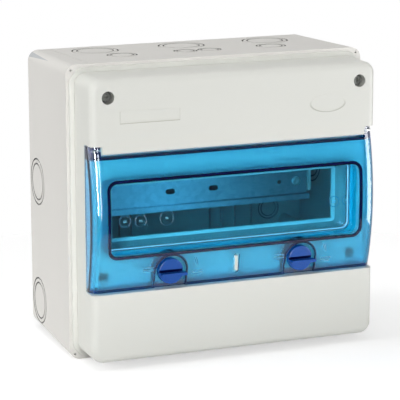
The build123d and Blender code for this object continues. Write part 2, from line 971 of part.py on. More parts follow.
def save(name, *solids):
    """Writes one node: one solid, or a group of separate ones."""
    node = solids[0] if len(solids) == 1 else Compound(children=list(solids))
    export_step(node, f"parts/{name}.step")


os.makedirs("parts", exist_ok=True)
save("base_box", base_box())
save("cover_gasket", cover_gasket())
save("front_cover", front_cover())
save("cover_screws", *cover_screws())
save("cover_screw_seals", *cover_screw_seals())
save("door_gasket", door_gasket())
save("door", door())
save("din_rail", din_rail())
save("rail_screws", *rail_screws())
save("terminal_holder", terminal_holder())
save("neutral_bar", terminal_bar(1))
save("earth_bar", terminal_bar(-1))
save("neutral_bar_screws", *terminal_screws(1))
save("earth_bar_screws", *terminal_screws(-1))
save("wall_screw_caps", *wall_screw_caps())
for hand, side in (("left", -1), ("right", 1)):
    save(f"hinge_pin_{hand}", hinge_pin(side))
    save(f"knob_{hand}", knob(side))
    save(f"knob_seal_{hand}", knob_seal(side))
    save(f"latch_cam_{hand}", latch_cam(side))
    save(f"cam_screw_{hand}", cam_screw(side))
    save(f"rail_support_{hand}", rail_support(side))
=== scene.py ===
import math

import bpy
import numpy as np
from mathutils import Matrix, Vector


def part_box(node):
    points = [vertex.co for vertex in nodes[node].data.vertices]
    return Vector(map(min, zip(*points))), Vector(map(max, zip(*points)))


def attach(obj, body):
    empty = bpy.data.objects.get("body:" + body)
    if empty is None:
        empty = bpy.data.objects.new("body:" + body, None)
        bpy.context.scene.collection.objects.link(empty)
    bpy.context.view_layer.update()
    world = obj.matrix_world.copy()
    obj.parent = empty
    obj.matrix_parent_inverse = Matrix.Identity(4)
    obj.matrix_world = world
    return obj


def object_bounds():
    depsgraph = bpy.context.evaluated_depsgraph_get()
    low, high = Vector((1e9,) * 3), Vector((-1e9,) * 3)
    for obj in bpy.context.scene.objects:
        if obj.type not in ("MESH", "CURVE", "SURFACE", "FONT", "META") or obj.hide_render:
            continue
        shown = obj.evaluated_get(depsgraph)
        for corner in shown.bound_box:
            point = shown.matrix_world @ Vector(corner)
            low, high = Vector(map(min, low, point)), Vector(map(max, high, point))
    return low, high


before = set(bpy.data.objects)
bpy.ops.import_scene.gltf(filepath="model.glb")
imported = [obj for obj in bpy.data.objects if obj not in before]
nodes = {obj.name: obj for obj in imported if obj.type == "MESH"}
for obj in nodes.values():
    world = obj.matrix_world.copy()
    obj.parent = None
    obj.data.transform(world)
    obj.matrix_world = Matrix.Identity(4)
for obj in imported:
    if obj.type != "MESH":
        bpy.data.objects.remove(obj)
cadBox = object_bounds()
lowest, highest = (np.array(corner) for corner in cadBox)
print("frame loaded,", len(nodes), "parts")


# Shader trees

def startMaterial(name):
    # a material and its tree, with no nodes yet
    material = bpy.data.materials.new(name)
    material.use_nodes = True
    material.node_tree.nodes.clear()
    return material, material.node_tree


def fill(tree, socket, value):
    # links another node's output to a socket, or sets the socket to a number, vector or colour
    if isinstance(value, bpy.types.NodeSocket):
        tree.links.new(value, socket)
    else:
        socket.default_value = value


def addNode(tree, kind, settings=None, **sockets):
    # settings are the node's own choices, sockets are what fills its inputs
    node = tree.nodes.new(kind)
    for key, value in (settings or {}).items():
        setattr(node, key, value)
    for key, value in sockets.items():
        fill(tree, node.inputs[key.replace("_", " ")], value)
    return node


def objectPoints(tree, stretch=(1, 1, 1)):
    # the piece's own coordinates, stretched for a pattern
    source = addNode(tree, "ShaderNodeTexCoord")
    mapping = addNode(tree, "ShaderNodeMapping", {"vector_type": "POINT"}, Vector=source.outputs["Object"],
                      Scale=stretch)
    return mapping.outputs["Vector"]


def workOut(tree, kind, operation, *values):
    # a maths node whose inputs are filled in order, with numbers, vectors or other nodes' outputs
    node = addNode(tree, kind, {"operation": operation})
    for socket, value in zip(node.inputs, values):
        fill(tree, socket, value)
    return node.outputs


def maths(tree, operation, *values):
    return workOut(tree, "ShaderNodeMath", operation, *values)[0]


def vectorMaths(tree, operation, *values):
    return workOut(tree, "ShaderNodeVectorMath", operation, *values)["Vector"]


def vectorSize(tree, operation, *values):
    return workOut(tree, "ShaderNodeVectorMath", operation, *values)["Value"]


def ownPlace(tree):
    # a point's place in the piece's own coordinates
    return addNode(tree, "ShaderNodeTexCoord").outputs["Object"]


# how finely each pattern is drawn: octaves and how strong the finer ones are
patternDetail = {"plain": (2.0, 0.5), "grain": (3.0, 0.6), "scratch": (4.0, 0.65)}
# the part of a pattern's values that is spread over a whole change of look
noiseSpan = (0.3, 0.7)
grainSpan = (0.35, 0.65)
poreSpan = (0.1, 0.6)


def noise(tree, points, scale, kind="plain"):
    detail, rough = patternDetail[kind]
    node = addNode(tree, "ShaderNodeTexNoise", {"noise_dimensions": "3D"}, Vector=points, Scale=scale,
                   Detail=detail, Roughness=rough)
    return node.outputs["Fac"]


def remap(tree, value, low, high, newLow, newHigh, smooth=False):
    node = addNode(tree, "ShaderNodeMapRange", {"interpolation_type": "SMOOTHSTEP" if smooth else "LINEAR"},
                   Value=value)
    for key, number in (("From Min", low), ("From Max", high), ("To Min", newLow), ("To Max", newHigh)):
        node.inputs[key].default_value = number
    return node.outputs["Result"]


def blendColours(tree, factor, first, second):
    node = addNode(tree, "ShaderNodeMix", {"data_type": "RGBA"})
    tree.links.new(factor, node.inputs[0])
    node.inputs[6].default_value = (*first, 1)
    fill(tree, node.inputs[7], second if isinstance(second, bpy.types.NodeSocket) else (*second, 1))
    return node.outputs[2]


def bump(tree, height, strength, distance, under=None):
    node = addNode(tree, "ShaderNodeBump", None, Height=height, Strength=strength, Distance=distance)
    if under is not None:
        tree.links.new(under, node.inputs["Normal"])
    return node.outputs["Normal"]


def within(tree, low, high):
    # one inside a box of the piece's own coordinates, nought outside it
    middle = [(a + b) / 2 for a, b in zip(low, high)]
    size = vectorMaths(tree, "ABSOLUTE", vectorMaths(tree, "SUBTRACT", ownPlace(tree), middle))
    axes = addNode(tree, "ShaderNodeSeparateXYZ", None, Vector=size)
    tests = [maths(tree, "LESS_THAN", axes.outputs[axis], (b - a) / 2)
             for axis, a, b in zip("XYZ", low, high)]
    return maths(tree, "MULTIPLY", maths(tree, "MULTIPLY", tests[0], tests[1]), tests[2])


def nearDisc(tree, axis, radius, half):
    # one where a point's distance from an axis along x is the radius, give or take the half width
    flat = vectorMaths(tree, "MULTIPLY", ownPlace(tree), (0, 1, 1))
    return maths(tree, "COMPARE", vectorSize(tree, "DISTANCE", flat, axis), radius, half)


def inRings(tree, centres, middle, radii, wide):
    # one in the narrow grooves round the given centres, which are mirrored about x = 0
    offset = vectorMaths(tree, "SUBTRACT", ownPlace(tree), (0, 0, middle))
    axes = addNode(tree, "ShaderNodeSeparateXYZ", None, Vector=offset)
    folded = addNode(tree, "ShaderNodeCombineXYZ", None, X=maths(tree, "ABSOLUTE", axes.outputs["X"]),
                     Y=axes.outputs["Y"], Z=axes.outputs["Z"])
    found = 0.0
    for kind, centre in centres:
        reach = vectorSize(tree, "DISTANCE", folded.outputs["Vector"], centre)
        for radius in radii[kind]:
            test = maths(tree, "COMPARE", reach, radius - wide / 2, wide / 2)
            found = maths(tree, "MAXIMUM", found, test)
    return found


def inOval(tree, look):
    # one in a thin oval band, fading to nought over the upper part of it: in coordinates scaled by
    # the oval's half sizes, the band lies near a distance of one from the centre
    offset = vectorMaths(tree, "SUBTRACT", ownPlace(tree), look["centre"])
    width, height = look["halves"]
    scaled = vectorMaths(tree, "MULTIPLY", offset, (1 / width, 1 / look["deepHalf"], 1 / height))
    near = maths(tree, "COMPARE", vectorSize(tree, "LENGTH", scaled), 1.0, look["spread"])
    axes = addNode(tree, "ShaderNodeSeparateXYZ", None, Vector=scaled)
    under = remap(tree, axes.outputs["Z"], *look["shadeRamp"], 0, 1, True)
    return maths(tree, "MULTIPLY", near, under)


def shaded(tree, mask, colour, tint):
    # a colour multiplied by a tint where the mask is one
    mix = addNode(tree, "ShaderNodeMix", {"data_type": "RGBA", "blend_type": "MULTIPLY"})
    tree.links.new(mask, mix.inputs[0])
    tree.links.new(colour, mix.inputs[6])
    mix.inputs[7].default_value = (*tint, 1)
    return mix.outputs[2]


def mixShaders(tree, factor, first, second):
    node = addNode(tree, "ShaderNodeMixShader")
    for socket, value in zip(node.inputs, (factor, first, second)):
        tree.links.new(value, socket)
    return node.outputs["Shader"]


def finishMaterial(material, tree, shader, volume=None):
    output = addNode(tree, "ShaderNodeOutputMaterial")
    tree.links.new(shader, output.inputs["Surface"])
    if volume is not None:
        tree.links.new(volume, output.inputs["Volume"])
    return material


def mouldedPlastic(name, look):
    # spark-eroded grain over a slow unevenness of colour and of the surface itself, with optional painted
    # shade in given boxes, along thin strips, in an oval band and in ring grooves
    material, tree = startMaterial(name)
    points = objectPoints(tree)
    grain = noise(tree, points, look["grainPerMetre"], "grain")
    cloud = noise(tree, points, look["cloudPerMetre"])
    colour = blendColours(tree, remap(tree, cloud, *noiseSpan, 0, 1), look["colour"], look["colourDeep"])
    fine = blendColours(tree, remap(tree, grain, *grainSpan, 0, look["grainTint"]), look["colour"], colour)
    # painted shade: the colour is darkened inside a given box
    if look.get("paintedShadeFrom"):
        fine = shaded(tree, within(tree, look["paintedShadeFrom"], look["paintedShadeTo"]), fine, look["paintedShadeTint"])
    # painted shade: thin darkened strips along raised edges
    for low, high, tint in look.get("edgeShadeLines", ()):
        fine = shaded(tree, within(tree, low, high), fine, tint)
    # painted shade: the lower part of an oval emboss's edge is darkened
    if look.get("oval"):
        fine = shaded(tree, inOval(tree, look["oval"]), fine, look["oval"]["tint"])
    # painted shade: the ring grooves are darkened
    if look.get("rings"):
        grooves = inRings(tree, look["rings"], look["ringMiddle"], look["ringRadii"], look["ringWide"])
        fine = shaded(tree, grooves, fine, look["grooveShadeTint"])
    roughness = remap(tree, grain, *noiseSpan, look["roughLow"], look["roughHigh"])
    wave = bump(tree, cloud, look["waveStrength"], look["waveDepth"])
    normal = bump(tree, grain, look["grainStrength"], look["grainDepth"], wave)
    shader = addNode(tree, "ShaderNodeBsdfPrincipled", None, Base_Color=fine, Roughness=roughness,
                     Normal=normal)
    shader.inputs["IOR"].default_value = look["ior"]
    shader.inputs["Specular IOR Level"].default_value = look["gloss"]
    return finishMaterial(material, tree, shader.outputs["BSDF"])


greyLooks = {
    "base": {"colour": (0.715, 0.700, 0.665), "colourDeep": (0.690, 0.676, 0.640), "grainPerMetre": 1500.0,
             "cloudPerMetre": 14.0, "grainTint": 0.8, "roughLow": 0.46, "roughHigh": 0.60,
             "waveStrength": 0.25, "waveDepth": 0.0006, "grainStrength": 0.22, "grainDepth": 0.00012,
             # painted shade: the box given below darkens the inside walls of the base
             "ior": 1.5, "gloss": 0.45, "paintedShadeFrom": (-0.1428, -0.0350, 0.0052),
             "paintedShadeTo": (0.1428, 0.0870, 0.2698), "paintedShadeTint": (0.66, 0.70, 0.75), "ringMiddle": 0.1375,
             "ringWide": 0.0015,
             "rings": (("large", (0, 0.05375, 0.13498)), ("large", (0, 0.05375, -0.13498)),
                       ("large", (0.0875, 0.05375, 0.13498)), ("large", (0.0875, 0.05375, -0.13498)),
                       ("medium", (0.0755, 0.01175, 0.136156)), ("medium", (0.0755, 0.01175, -0.136156)),
                       ("small", (0.0122, 0.01175, 0.136156)), ("small", (0.0122, 0.01175, -0.136156)),
                       ("large", (0.144256, 0.06175, 0.0115)), ("large", (0.144256, 0.06175, -0.1055)),
                       ("small", (0.106, 0.08575, -0.0408))),
             "ringRadii": {"large": (0.0226, 0.0180), "medium": (0.0145, 0.0114), "small": (0.0115, 0.0088)},
             # painted shade in the knockout rings' grooves
             "grooveShadeTint": (0.30, 0.30, 0.30)},
    "cover": {"colour": (0.755, 0.760, 0.715), "colourDeep": (0.735, 0.742, 0.696), "grainPerMetre": 1900.0,
              "cloudPerMetre": 11.0, "grainTint": 0.6, "roughLow": 0.34, "roughHigh": 0.44,
              "waveStrength": 0.2, "waveDepth": 0.0005, "grainStrength": 0.12, "grainDepth": 0.00008,
              "ior": 1.5, "gloss": 0.14,
              # painted shade: darker strips along the lower and side edges of the raised label frame
              "edgeShadeLines": (((-0.1123, -0.0845, 0.2267), (-0.0551, -0.0815, 0.22755), (0.70, 0.69, 0.64)),
                        ((-0.1125, -0.0845, 0.2275), (-0.1118, -0.0815, 0.2381), (0.88, 0.88, 0.87)),
                        ((-0.0556, -0.0845, 0.2275), (-0.0549, -0.0815, 0.2381), (0.86, 0.86, 0.85))),
              # painted shade along the lower edge of the oval emboss, fading out upwards
              "oval": {"centre": (0.0912, -0.08325, 0.2326), "halves": (0.0177, 0.00825), "deepHalf": 0.5,
                       "spread": 0.05, "shadeRamp": (0.35, -0.75), "tint": (0.68, 0.68, 0.64)},
              # painted shade: the box given below darkens the funnel walls round the window aperture
              "paintedShadeFrom": (-0.1265, -0.0625, 0.1030), "paintedShadeTo": (0.1265, -0.0526, 0.1766),
              "paintedShadeTint": (0.42, 0.42, 0.44)},
    "inner": {"colour": (0.60, 0.60, 0.57), "colourDeep": (0.56, 0.56, 0.53), "grainPerMetre": 1500.0,
              "cloudPerMetre": 20.0, "grainTint": 0.8, "roughLow": 0.42, "roughHigh": 0.58,
              "waveStrength": 0.2, "waveDepth": 0.0004, "grainStrength": 0.2, "grainDepth": 0.0001,
              "ior": 1.5, "gloss": 0.45},
    "screw": {"colour": (0.085, 0.092, 0.078), "colourDeep": (0.070, 0.076, 0.064), "grainPerMetre": 2600.0,
              "cloudPerMetre": 120.0, "grainTint": 0.9, "roughLow": 0.34, "roughHigh": 0.5,
              "waveStrength": 0.1, "waveDepth": 0.0001, "grainStrength": 0.2, "grainDepth": 0.00006,
              "ior": 1.52, "gloss": 0.5},
}
basePlastic = mouldedPlastic("basePlastic", greyLooks["base"])
coverPlastic = mouldedPlastic("coverPlastic", greyLooks["cover"])
innerPlastic = mouldedPlastic("innerPlastic", greyLooks["inner"])
screwNylon = mouldedPlastic("screwNylon", greyLooks["screw"])

knobLook = {"colour": (0.005, 0.078, 0.375), "colourDeep": (0.004, 0.062, 0.320), "grainPerMetre": 2400.0,
            "cloudPerMetre": 90.0, "grainTint": 0.8, "roughLow": 0.24, "roughHigh": 0.34,
            "waveStrength": 0.15, "waveDepth": 0.0002, "grainStrength": 0.12, "grainDepth": 0.00005,
            "ior": 1.5, "gloss": 0.25}
knobPlastic = mouldedPlastic("knobPlastic", knobLook)

# painted shade: an opaque, nearly black plastic for the dark edges of the window and the knob pockets, where
# the clear plastic is seen along its length, and for the shade in the knob slots
edgeShadeLook = {"colour": (0.0010, 0.0022, 0.034), "colourDeep": (0.0008, 0.0014, 0.022), "grainPerMetre": 2000.0,
           "cloudPerMetre": 60.0, "grainTint": 0.8, "roughLow": 0.25, "roughHigh": 0.35, "waveStrength": 0.1,
           "waveDepth": 0.0001, "grainStrength": 0.1, "grainDepth": 0.00003, "ior": 1.5, "gloss": 0.0}
edgeShadePlastic = mouldedPlastic("edgeShadePlastic", edgeShadeLook)
markLook = {"colour": (0.080, 0.330, 0.520), "colourDeep": (0.055, 0.270, 0.450), "grainPerMetre": 4000.0,
            "cloudPerMetre": 200.0, "grainTint": 0.8, "roughLow": 0.2, "roughHigh": 0.3, "waveStrength": 0.1,
            "waveDepth": 0.0001, "grainStrength": 0.1, "grainDepth": 0.00002, "ior": 1.5, "gloss": 0.5}
markPlastic = mouldedPlastic("markPlastic", markLook)
# pale cyan: the painted highlight of the bead inside the pane's edge; the pane's ticks share it
paneHighlightAndTickLook = {"colour": (0.220, 0.700, 0.940), "colourDeep": (0.180, 0.640, 0.880), "grainPerMetre": 3000.0,
           "cloudPerMetre": 60.0, "grainTint": 0.8, "roughLow": 0.2, "roughHigh": 0.3, "waveStrength": 0.1,
           "waveDepth": 0.0001, "grainStrength": 0.1, "grainDepth": 0.00002, "ior": 1.5, "gloss": 0.5}
paneHighlightAndTickPlastic = mouldedPlastic("paneHighlightAndTickPlastic", paneHighlightAndTickLook)
ringLook = dict(markLook, colour=(0.030, 0.190, 0.330), colourDeep=(0.020, 0.150, 0.280))
ringPlastic = mouldedPlastic("ringPlastic", ringLook)

doorLook = {"absorbs": (0.0, 0.650, 0.800), "perMetre": 560.0, "ior": 1.5, "clearRough": 0.02, "gloss": 0.36,
            "frostLow": 0.32, "frostHigh": 0.42, "frostPerMetre": 900.0, "discAxis": (0, 0.14721, 0.13878),
            "innerRadius": 0.23316, "innerHalf": 0.0006,
            # painted shade: the well box below gets a deeper blue tint
            "wellFrom": (-0.1262, -0.0795, 0.1032), "wellTo": (0.1262, -0.0660, 0.1764),
            "wellShadeTint": (0.08, 0.84, 0.98), "lampTint": (0.60, 0.665, 0.685)}


def clearPlastic(name, look):
    # clear body whose colour deepens with thickness, whose window well's walls carry a painted shade of
    # deeper blue and whose front has a frosted inner face; shadow rays go straight through it and take on the
    # lamp tint
    material, tree = startMaterial(name)
    body = addNode(tree, "ShaderNodeBsdfPrincipled")
    for key, value in (("Transmission Weight", 1.0), ("IOR", look["ior"]),
                       ("Specular IOR Level", look["gloss"])):
        body.inputs[key].default_value = value
    clear = addNode(tree, "ShaderNodeRGB")
    clear.outputs[0].default_value = (1, 1, 1, 1)
    # painted shade: the well's walls are tinted a deeper blue, standing in for light that has crossed more
    # plastic
    tinted = shaded(tree, within(tree, look["wellFrom"], look["wellTo"]), clear.outputs[0], look["wellShadeTint"])
    tree.links.new(tinted, body.inputs["Base Color"])
    inner = nearDisc(tree, look["discAxis"], look["innerRadius"], look["innerHalf"])
    frost = remap(tree, noise(tree, objectPoints(tree), look["frostPerMetre"]), *noiseSpan, look["frostLow"],
                  look["frostHigh"])
    rough = addNode(tree, "ShaderNodeMix", {"data_type": "FLOAT"})
    tree.links.new(inner, rough.inputs[0])
    rough.inputs[2].default_value = look["clearRough"]
    tree.links.new(frost, rough.inputs[3])
    tree.links.new(rough.outputs[0], body.inputs["Roughness"])
    through = addNode(tree, "ShaderNodeBsdfTransparent", None, Color=(*look["lampTint"], 1))
    rays = addNode(tree, "ShaderNodeLightPath")
    surface = mixShaders(tree, rays.outputs["Is Shadow Ray"], body.outputs["BSDF"], through.outputs["BSDF"])
    dye = addNode(tree, "ShaderNodeVolumeAbsorption", None, Color=(*look["absorbs"], 1),
                  Density=look["perMetre"])
    return finishMaterial(material, tree, surface, dye.outputs["Volume"])


bluePlastic = clearPlastic("bluePlastic", doorLook)


def rubber(name, look):
    # dull skin with open pores
    material, tree = startMaterial(name)
    points = objectPoints(tree)
    pores = addNode(tree, "ShaderNodeTexVoronoi", {"feature": "F1"}, Vector=points,
                    Scale=look["poresPerMetre"])
    cloud = noise(tree, points, look["cloudPerMetre"])
    colour = blendColours(tree, remap(tree, pores.outputs["Distance"], *poreSpan, 0, 1), look["colourDeep"],
                          look["colour"])
    roughness = remap(tree, cloud, *noiseSpan, look["roughLow"], look["roughHigh"])
    normal = bump(tree, pores.outputs["Distance"], look["poreStrength"], look["poreDepth"])
    shader = addNode(tree, "ShaderNodeBsdfPrincipled", None, Base_Color=colour, Roughness=roughness,
                     Normal=normal)
    return finishMaterial(material, tree, shader.outputs["BSDF"])


softLooks = {
    "foam": {"colour": (0.055, 0.055, 0.055), "colourDeep": (0.02, 0.02, 0.02), "poresPerMetre": 900.0,
             "cloudPerMetre": 60.0, "roughLow": 0.75, "roughHigh": 0.95, "poreStrength": 0.6,
             "poreDepth": 0.0003},
    "pale": {"colour": (0.62, 0.63, 0.60), "colourDeep": (0.52, 0.53, 0.50), "poresPerMetre": 2500.0,
             "cloudPerMetre": 90.0, "roughLow": 0.5, "roughHigh": 0.65, "poreStrength": 0.2,
             "poreDepth": 0.0001},
    "seal": {"colour": (0.03, 0.03, 0.03), "colourDeep": (0.015, 0.015, 0.015), "poresPerMetre": 2500.0,
             "cloudPerMetre": 90.0, "roughLow": 0.5, "roughHigh": 0.65, "poreStrength": 0.2,
             "poreDepth": 0.0001},
}
paleSeal = rubber("paleSeal", softLooks["pale"])
foamRubber = rubber("foamRubber", softLooks["foam"])
sealRubber = rubber("sealRubber", softLooks["seal"])


def sheetMetal(name, look):
    # crystals of the coating as flat patches, drawn out along the piece, with fine scratches
    material, tree = startMaterial(name)
    points = objectPoints(tree, look["stretch"])
    patches = addNode(tree, "ShaderNodeTexVoronoi", {"feature": "F1"}, Vector=points,
                      Scale=look["patchesPerMetre"])
    scratch = noise(tree, objectPoints(tree, look["scratchStretch"]), look["scratchesPerMetre"], "scratch")
    shade = addNode(tree, "ShaderNodeRGBToBW", None, Color=patches.outputs["Color"])
    colour = blendColours(tree, shade.outputs["Val"], look["colourDeep"], look["colour"])
    # painted shade: the colour darkens along x, towards the piece's right end
    if look.get("shadeRamp"):
        axes = addNode(tree, "ShaderNodeSeparateXYZ", None, Vector=ownPlace(tree))
        along = remap(tree, axes.outputs["X"], *look["shadeRamp"], 0, 1, True)
        colour = shaded(tree, along, colour, look["shadeRampTint"])
    roughness = remap(tree, scratch, *noiseSpan, look["roughLow"], look["roughHigh"])
    normal = bump(tree, scratch, look["scratchStrength"], look["scratchDepth"])
    shader = addNode(tree, "ShaderNodeBsdfPrincipled", None, Base_Color=colour, Roughness=roughness,
                     Normal=normal, Metallic=1.0)
    return finishMaterial(material, tree, shader.outputs["BSDF"])


metalLooks = {
    "galvanised": {"colour": (0.74, 0.80, 0.88), "colourDeep": (0.60, 0.65, 0.73), "stretch": (1, 1, 1),
                   "patchesPerMetre": 240.0, "scratchStretch": (0.15, 1, 1), "scratchesPerMetre": 900.0,
                   "roughLow": 0.48, "roughHigh": 0.66, "scratchStrength": 0.15, "scratchDepth": 0.00005,
                   # painted shade: darker towards the right end of the rail
                   "shadeRamp": (-0.06, 0.10), "shadeRampTint": (0.45, 0.42, 0.42)},
    "zinc": {"colour": (0.92, 0.92, 0.90), "colourDeep": (0.84, 0.84, 0.82), "stretch": (1, 1, 1),
             "patchesPerMetre": 500.0, "scratchStretch": (1, 1, 1), "scratchesPerMetre": 2000.0,
             "roughLow": 0.30, "roughHigh": 0.40, "scratchStrength": 0.1, "scratchDepth": 0.00003},
    "wire": {"colour": (0.60, 0.60, 0.60), "colourDeep": (0.52, 0.52, 0.52), "stretch": (0.2, 1, 1),
             "patchesPerMetre": 900.0, "scratchStretch": (0.05, 1, 1), "scratchesPerMetre": 4000.0,
             "roughLow": 0.2, "roughHigh": 0.35, "scratchStrength": 0.15, "scratchDepth": 0.00003},
    "brass": {"colour": (0.78, 0.58, 0.27), "colourDeep": (0.68, 0.49, 0.21), "stretch": (0.1, 1, 1),
              "patchesPerMetre": 700.0, "scratchStretch": (0.04, 1, 1), "scratchesPerMetre": 3000.0,
              "roughLow": 0.24, "roughHigh": 0.42, "scratchStrength": 0.2, "scratchDepth": 0.00004},
}
galvanisedSteel = sheetMetal("galvanisedSteel", metalLooks["galvanised"])
zincSteel = sheetMetal("zincSteel", metalLooks["zinc"])
drawnSteel = sheetMetal("drawnSteel", metalLooks["wire"])
drawnBrass = sheetMetal("drawnBrass", metalLooks["brass"])

nodeFinish = {
    "base_box": basePlastic, "front_cover": coverPlastic, "cover_gasket": foamRubber,
    "cover_screws": screwNylon, "cover_screw_seals": sealRubber, "door_gasket": paleSeal,
    "din_rail": galvanisedSteel, "rail_screws": zincSteel, "rail_support_left": innerPlastic,
    "rail_support_right": innerPlastic, "terminal_holder": innerPlastic, "neutral_bar": drawnBrass,
    "earth_bar": drawnBrass, "neutral_bar_screws": zincSteel, "earth_bar_screws": zincSteel,
    "wall_screw_caps": innerPlastic, "hinge_pin_left": drawnSteel, "hinge_pin_right": drawnSteel,
    "door": bluePlastic, "knob_left": knobPlastic, "knob_right": knobPlastic, "knob_seal_left": sealRubber,
    "knob_seal_right": sealRubber, "latch_cam_left": knobPlastic, "latch_cam_right": knobPlastic,
    "cam_screw_left": zincSteel, "cam_screw_right": zincSteel,
}
for nodeName, material in nodeFinish.items():
    for place in nodes[nodeName].material_slots:
        place.material = material
print("finishes given to", len(nodeFinish), "parts")


# Surfaces worked out as whole arrays

def gridFaces(rows, columns, closeRows, closeColumns):
    # quads between neighbouring points of a rows x columns grid, wrapped round where it closes
    row = np.arange(rows if closeRows else rows - 1)
    column = np.arange(columns if closeColumns else columns - 1)
    r, c = np.meshgrid(row, column, indexing="ij")
    rNext, cNext = (r + 1) % rows, (c + 1) % columns
    quads = np.stack([r * columns + c, rNext * columns + c, rNext * columns + cNext, r * columns + cNext],
                     axis=-1)
    return quads.reshape(-1, 4)


def joinShapes(shapes):
    # several (points, faces) pairs as one, each one's face numbers moved on by the points before it
    points = np.concatenate([shape[0] for shape in shapes])
    faces, before = [], 0
    for shapePoints, shapeFaces in shapes:
        faces += [[corner + before for corner in face] for face in shapeFaces]
        before += len(shapePoints)
    return points, faces


def makePiece(name, shapes, finish, body):
    points, faces = joinShapes(shapes)
    mesh = bpy.data.meshes.new(name)
    mesh.from_pydata(points.tolist(), [], faces)
    mesh.polygons.foreach_set("use_smooth", np.full(len(mesh.polygons), True))
    mesh.materials.append(finish)
    mesh.update()
    piece = bpy.data.objects.new(name, mesh)
    bpy.context.scene.collection.objects.link(piece)
    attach(piece, body)
    return piece


def evenTurns(count):
    # the angles of so many points set evenly round a circle
    return np.arange(count) * 2 * np.pi / count


def keptSign(value, power):
    # the value's size raised to a power, its sign kept
    return np.sign(value) * np.abs(value) ** power


def roundedOutline(width, height, radius, cornerSteps, sideSteps):
    # a rounded rectangle in x and z, with outward directions: four quarter turns joined by straight runs
    quarter = np.linspace(0, np.pi / 2, cornerSteps + 1)
    angles = quarter[None, :] + np.arange(4)[:, None] * np.pi / 2
    out = np.stack([np.cos(angles), np.sin(angles)], axis=-1)
    centres = np.array([(1, 1), (-1, 1), (-1, -1), (1, -1)]) * (np.array([width, height]) / 2 - radius)
    corners = centres[:, None, :] + radius * out
    share = np.linspace(0, 1, sideSteps + 1)[1:-1]
    first, second = corners[:, -1], np.roll(corners[:, 0], -1, axis=0)
    runs = first[:, None] + (second - first)[:, None] * share[None, :, None]
    runOut = np.repeat(out[:, -1:], len(share), axis=1)
    points = np.concatenate([corners, runs], axis=1).reshape(-1, 2)
    return points, np.concatenate([out, runOut], axis=1).reshape(-1, 2)


doorSkin = {"radius": 0.23596, "crestHeight": 0.13878}
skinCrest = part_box("door")[0][1]


def skinY(height):
    # the door's front is part of a large disc: crest + radius - sqrt(radius^2 - (height - crest height)^2)
    drop = np.asarray(height) - doorSkin["crestHeight"]
    return skinCrest + doorSkin["radius"] - np.sqrt(doorSkin["radius"] ** 2 - drop**2)


def pebble(centre, halves, squareness, rings=8, turns=16):
    # a rounded block: the sine and cosine of latitude and turn, raised to the squareness with
    # their signs kept
    latitude = np.linspace(-np.pi / 2, np.pi / 2, rings + 1)[1:-1, None]
    turn = evenTurns(turns)[None, :]
    across = keptSign(np.cos(latitude), squareness)
    ball = np.stack([across * keptSign(np.cos(turn), squareness), across * keptSign(np.sin(turn), squareness),
                     keptSign(np.sin(latitude), squareness) + 0 * turn], axis=-1).reshape(-1, 3)
    points = np.concatenate([ball, [(0, 0, -1), (0, 0, 1)]]) * halves + centre
    around = np.arange(turns)
    after = (around + 1) % turns
    low = np.stack([np.full(turns, len(ball)), after, around], axis=-1)
    top = (rings - 2) * turns
    high = np.stack([np.full(turns, len(ball) + 1), top + around, top + after], axis=-1)
    sides = gridFaces(rings - 1, turns, False, True)[:, ::-1]
    return points, sides.tolist() + low.tolist() + high.tolist()


def tippedTube(body, tips, rows, sides):
    # a tube of so many rows of points, with each end drawn to one point
    around = np.arange(sides)
    after = (around + 1) % sides
    last = (rows - 1) * sides
    first = np.stack([np.full(sides, len(body)), around, after], axis=-1)
    end = np.stack([np.full(sides, len(body) + 1), last + after, last + around], axis=-1)
    faces = gridFaces(rows, sides, False, True).tolist() + first.tolist() + end.tolist()
    return np.concatenate([body, tips]), faces


def ringTube(centre, radius, thick, proud, turns=40, sides=8):
    # a round bead lying in an upright plane: a turn about the centre and a flattened turn about the bead
    turn = evenTurns(turns)[:, None]
    side = evenTurns(sides)[None, :]
    reach = radius + thick / 2 * np.cos(side)
    points = np.stack([centre[0] + reach * np.cos(turn), centre[1] + proud * np.sin(side) + 0 * turn,
                       centre[2] + reach * np.sin(turn)], axis=-1)
    return points.reshape(-1, 3), gridFaces(turns, sides, True, True).tolist()


def arcBead(centre, radius, startTurn, endTurn, thick, proud, steps=24, sides=8):
    # part of a turn about a centre in x and z, laid on the door's front, its ends drawn to points
    share = np.linspace(0, 1, steps + 1)[1:-1, None]
    turn = np.radians(startTurn + (endTurn - startTurn) * share)
    side = evenTurns(sides)[None, :]
    swell = np.sin(np.pi * share) ** 0.5
    reach = radius + swell * thick / 2 * np.cos(side)
    x, z = centre[0] + reach * np.cos(turn), centre[1] + reach * np.sin(turn)
    y = skinY(z) + swell * proud * np.sin(side)
    tips = np.radians([startTurn, endTurn])
    tipZ = centre[1] + radius * np.sin(tips)
    tipPoints = np.stack([centre[0] + radius * np.cos(tips), skinY(tipZ), tipZ], axis=-1)
    return tippedTube(np.stack([x, y, z], axis=-1).reshape(-1, 3), tipPoints, steps - 1, sides)


def outwards(shape):
    # turns every face round where the shape's signed volume comes out negative
    points, faces = shape
    fans = np.array([(face[0], face[k], face[k + 1]) for face in faces for k in range(1, len(face) - 1)])
    a, b, c = points[fans[:, 0]], points[fans[:, 1]], points[fans[:, 2]]
    volume = np.einsum("ij,ij->i", a, np.cross(b, c)).sum() / 6
    return shape if volume > 0 else (points, [face[::-1] for face in faces])


# The window's dark edge: painted shade as a near-black bead inside the door's own thickness

windowEdgeShade = {"width": 0.2468, "height": 0.0675, "corner": 0.007, "centreHeight": 0.1398, "thick": 0.0024,
             "deep": 0.0021, "offset": 0.00135, "under": 0.0003, "squareness": 0.6, "cornerSteps": 10,
             "sideSteps": 24, "sections": 16}
